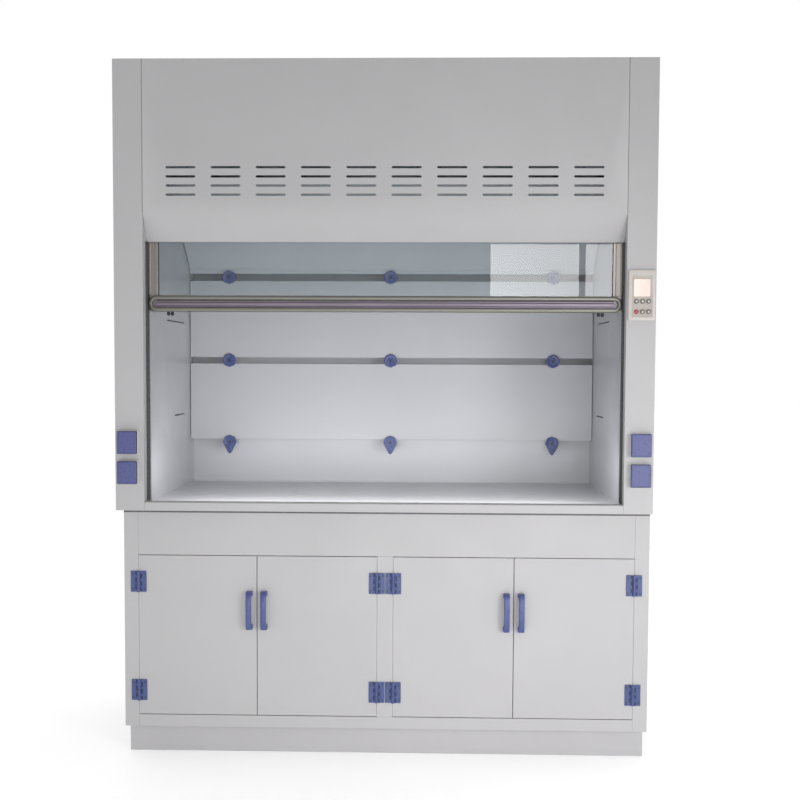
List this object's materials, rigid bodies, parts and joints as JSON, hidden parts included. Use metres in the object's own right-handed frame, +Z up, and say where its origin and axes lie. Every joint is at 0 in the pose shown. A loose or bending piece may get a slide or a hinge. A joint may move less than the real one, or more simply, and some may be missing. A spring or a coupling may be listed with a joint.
{
  "type": "fume hood",
  "caption": "Walk-up laboratory fume hood: counterbalanced vertical sash, slotted baffles, hinged base cabinet doors, sockets with lids and a button panel.",
  "frame": {"origin": "on the floor, at the centre of the bounding box's footprint", "axes": "+Z up, -Y out of the front, +X to the right as the user faces it"},
  "size_m": [1.8, 0.9, 2.41],
  "materials": {
    "light_grey_plastic": "satin",
    "blue_plastic": "satin",
    "anodised_aluminium": "satin",
    "steel": "satin",
    "belt_rubber": "matte",
    "sash_glass": "polished",
    "cream_plastic": "satin",
    "display_window": "gloss",
    "grey_button": "satin",
    "red_button": "satin"
  },
  "bodies": {
    "cabinet": {"base_plinth": "light_grey_plastic", "base_carcass": "light_grey_plastic", "base_face_frame": "light_grey_plastic", "side_shell_left": "light_grey_plastic", "side_shell_right": "light_grey_plastic", "liner_left": "light_grey_plastic", "liner_right": "light_grey_plastic", "worktop": "light_grey_plastic", "back_panel": "light_grey_plastic", "roof_panel": "light_grey_plastic", "ceiling_panel": "light_grey_plastic", "duct_collar": "light_grey_plastic", "fascia": "light_grey_plastic", "baffle_lower": "light_grey_plastic", "baffle_middle": "light_grey_plastic", "baffle_upper": "light_grey_plastic", "lamp": "light_grey_plastic", "socket_unit_left": "light_grey_plastic", "socket_unit_right": "light_grey_plastic", "hinge_1_low": "blue_plastic", "hinge_1_high": "blue_plastic", "hinge_2_low": "blue_plastic", "hinge_2_high": "blue_plastic", "hinge_3_low": "blue_plastic", "hinge_3_high": "blue_plastic", "hinge_4_low": "blue_plastic", "hinge_4_high": "blue_plastic", "baffle_hanger_left": "blue_plastic", "baffle_hanger_centre": "blue_plastic", "baffle_hanger_right": "blue_plastic", "belt_left": "belt_rubber", "belt_right": "belt_rubber", "controller_housing": "cream_plastic", "controller_display": "display_window"},
    "sash": {"sash_frame": "anodised_aluminium", "sash_glass": "sash_glass", "sash_handle": "anodised_aluminium"},
    "counterweight_left": {"counterweight_left": "steel"},
    "counterweight_right": {"counterweight_right": "steel"},
    "drive_shaft": {"drive_shaft": "steel"},
    "idler_left": {"idler_left": "steel"},
    "idler_right": {"idler_right": "steel"},
    "door_1": {"door_1": "light_grey_plastic", "door_pull_1": "blue_plastic"},
    "door_2": {"door_2": "light_grey_plastic", "door_pull_2": "blue_plastic"},
    "door_3": {"door_3": "light_grey_plastic", "door_pull_3": "blue_plastic"},
    "door_4": {"door_4": "light_grey_plastic", "door_pull_4": "blue_plastic"},
    "socket_lid_left_upper": {"socket_lid_left_upper": "blue_plastic"},
    "socket_lid_left_lower": {"socket_lid_left_lower": "blue_plastic"},
    "socket_lid_right_upper": {"socket_lid_right_upper": "blue_plastic"},
    "socket_lid_right_lower": {"socket_lid_right_lower": "blue_plastic"},
    "button_1_1": {"button_1_1": "grey_button"},
    "button_1_2": {"button_1_2": "grey_button"},
    "button_1_3": {"button_1_3": "grey_button"},
    "button_2_1": {"button_2_1": "red_button"},
    "button_2_2": {"button_2_2": "grey_button"},
    "button_2_3": {"button_2_3": "grey_button"}
  },
  "joints": [
    {"name": "sash_slide", "type": "slide", "parent": "cabinet", "child": "sash", "axis": [0, 0, 1], "range_m": [-0.64, 0]},
    {"name": "counterweight_left_slide", "type": "slide", "parent": "cabinet", "child": "counterweight_left", "axis": [0, 0, 1], "range_m": [0, 0.64]},
    {"name": "counterweight_right_slide", "type": "slide", "parent": "cabinet", "child": "counterweight_right", "axis": [0, 0, 1], "range_m": [0, 0.64]},
    {"name": "drive_shaft_spin", "type": "hinge", "parent": "cabinet", "child": "drive_shaft", "pos_m": [0, -0.304, 2.285], "axis": [1, 0, 0], "range_deg": [0, 1225]},
    {"name": "idler_left_spin", "type": "hinge", "parent": "cabinet", "child": "idler_left", "pos_m": [-0.848, -0.304, 0.93], "axis": [1, 0, 0], "range_deg": [0, 1225]},
    {"name": "idler_right_spin", "type": "hinge", "parent": "cabinet", "child": "idler_right", "pos_m": [0.848, -0.304, 0.93], "axis": [1, 0, 0], "range_deg": [0, 1225]},
    {"name": "door_1_hinge", "type": "hinge", "parent": "cabinet", "child": "door_1", "pos_m": [-0.8345, -0.3863, 0.4175], "axis": [0, 0, -1], "range_deg": [0, 170]},
    {"name": "door_2_hinge", "type": "hinge", "parent": "cabinet", "child": "door_2", "pos_m": [-0.0205, -0.3863, 0.4175], "axis": [0, 0, 1], "range_deg": [0, 88]},
    {"name": "door_3_hinge", "type": "hinge", "parent": "cabinet", "child": "door_3", "pos_m": [0.0355, -0.3863, 0.4175], "axis": [0, 0, -1], "range_deg": [0, 88]},
    {"name": "door_4_hinge", "type": "hinge", "parent": "cabinet", "child": "door_4", "pos_m": [0.8495, -0.3863, 0.4175], "axis": [0, 0, 1], "range_deg": [0, 170]},
    {"name": "socket_lid_left_upper_hinge", "type": "hinge", "parent": "cabinet", "child": "socket_lid_left_upper", "pos_m": [-0.8555, -0.4425, 1.1155], "axis": [-1, 0, 0], "range_deg": [0, 100]},
    {"name": "socket_lid_left_lower_hinge", "type": "hinge", "parent": "cabinet", "child": "socket_lid_left_lower", "pos_m": [-0.8555, -0.4425, 1.0145], "axis": [-1, 0, 0], "range_deg": [0, 100]},
    {"name": "socket_lid_right_upper_hinge", "type": "hinge", "parent": "cabinet", "child": "socket_lid_right_upper", "pos_m": [0.8555, -0.4425, 1.1155], "axis": [-1, 0, 0], "range_deg": [0, 100]},
    {"name": "socket_lid_right_lower_hinge", "type": "hinge", "parent": "cabinet", "child": "socket_lid_right_lower", "pos_m": [0.8555, -0.4425, 1.0145], "axis": [-1, 0, 0], "range_deg": [0, 100]},
    {"name": "button_1_1_press", "type": "slide", "parent": "cabinet", "child": "button_1_1", "axis": [0, 1, 0], "range_m": [0, 0.0012], "stiffness_N_per_m": 400, "springref_m": -0.0005},
    {"name": "button_1_2_press", "type": "slide", "parent": "cabinet", "child": "button_1_2", "axis": [0, 1, 0], "range_m": [0, 0.0012], "stiffness_N_per_m": 400, "springref_m": -0.0005},
    {"name": "button_1_3_press", "type": "slide", "parent": "cabinet", "child": "button_1_3", "axis": [0, 1, 0], "range_m": [0, 0.0012], "stiffness_N_per_m": 400, "springref_m": -0.0005},
    {"name": "button_2_1_press", "type": "slide", "parent": "cabinet", "child": "button_2_1", "axis": [0, 1, 0], "range_m": [0, 0.0012], "stiffness_N_per_m": 400, "springref_m": -0.0005},
    {"name": "button_2_2_press", "type": "slide", "parent": "cabinet", "child": "button_2_2", "axis": [0, 1, 0], "range_m": [0, 0.0012], "stiffness_N_per_m": 400, "springref_m": -0.0005},
    {"name": "button_2_3_press", "type": "slide", "parent": "cabinet", "child": "button_2_3", "axis": [0, 1, 0], "range_m": [0, 0.0012], "stiffness_N_per_m": 400, "springref_m": -0.0005}
  ],
  "couplings": [
    {"joint": "counterweight_left_slide", "follows": "sash_slide", "ratio": -1},
    {"joint": "counterweight_right_slide", "follows": "sash_slide", "ratio": -1},
    {"joint": "drive_shaft_spin", "follows": "sash_slide", "rad_per_m": -33.333},
    {"joint": "idler_left_spin", "follows": "sash_slide", "rad_per_m": -33.333},
    {"joint": "idler_right_spin", "follows": "sash_slide", "rad_per_m": -33.333}
  ]
}
